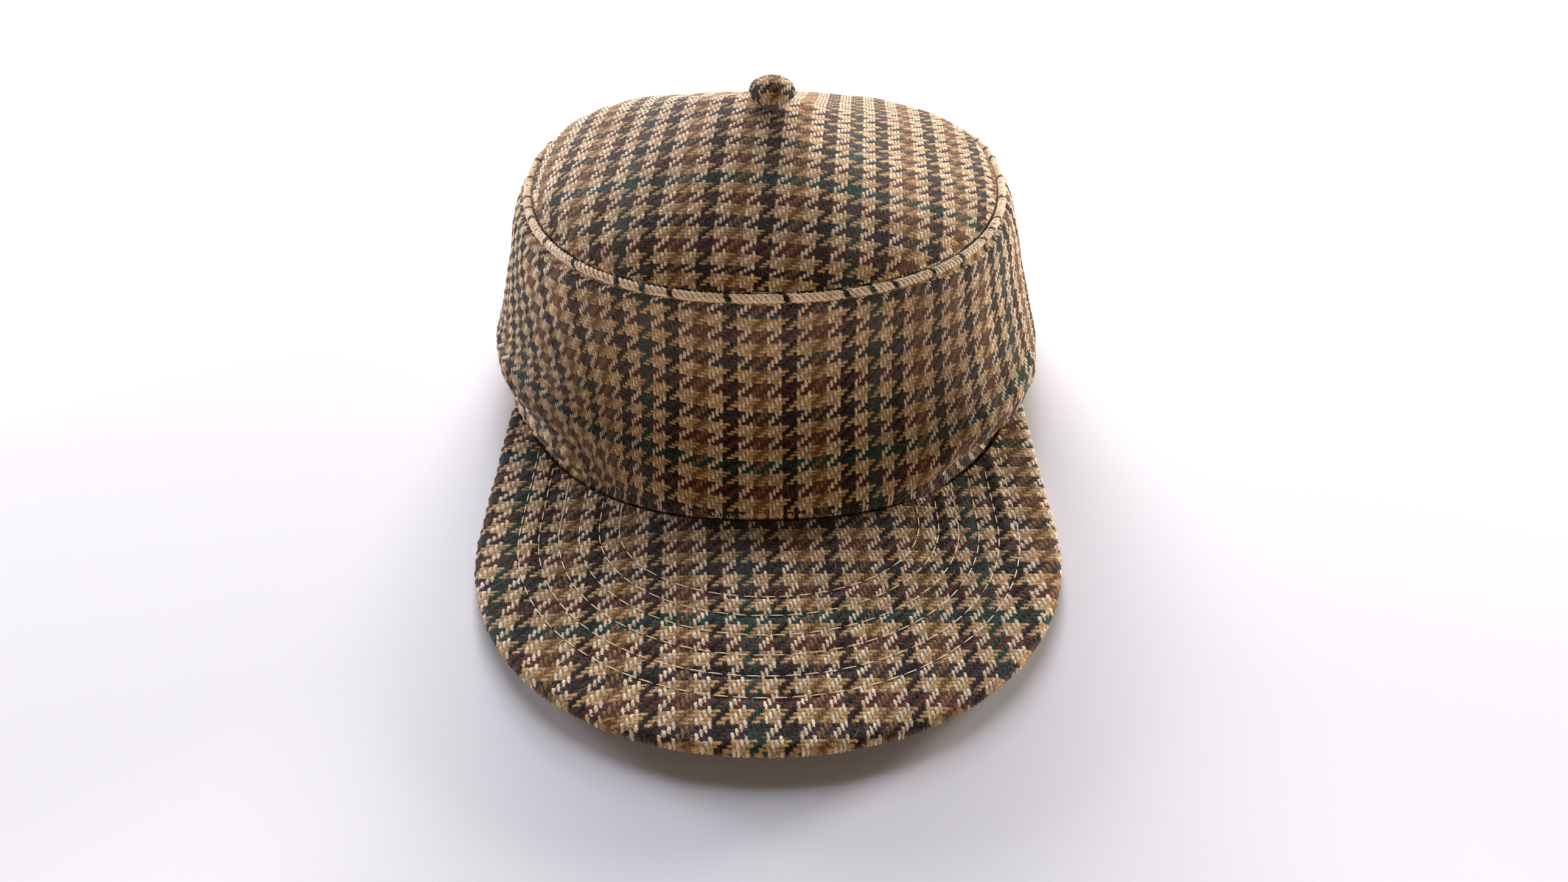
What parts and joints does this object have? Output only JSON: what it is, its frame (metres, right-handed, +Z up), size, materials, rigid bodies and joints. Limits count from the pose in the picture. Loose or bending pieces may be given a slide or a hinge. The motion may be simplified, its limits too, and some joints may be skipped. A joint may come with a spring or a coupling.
{
  "type": "tweed cap with an upright side band, domed top and flat visor",
  "caption": "Sewn checked tweed cap: hollow side band, domed top panel with a raised seam, cloth-covered button and flat stitched visor.",
  "frame": {"origin": "middle of the bounding box, on the surface that the cap stands on", "axes": "+Z up, the visor points to -Y, +X to the viewer's right when facing the visor"},
  "size_m": [0.1904, 0.2866, 0.0988],
  "materials": {
    "band_tweed": "brushed wool tweed in a brown, charcoal, russet and bottle-green check on cream and tan",
    "top_tweed": "the same tweed",
    "welt_tweed": "the same tweed, rolled over a seam",
    "visor_tweed": "the same tweed over a board, with rows of cream stitching",
    "button_tweed": "the same tweed"
  },
  "bodies": {
    "root": {"crown_band": "band_tweed", "crown_top": "top_tweed", "top_seam_welt": "welt_tweed", "visor": "visor_tweed", "top_button": "button_tweed"}
  },
  "joints": []
}
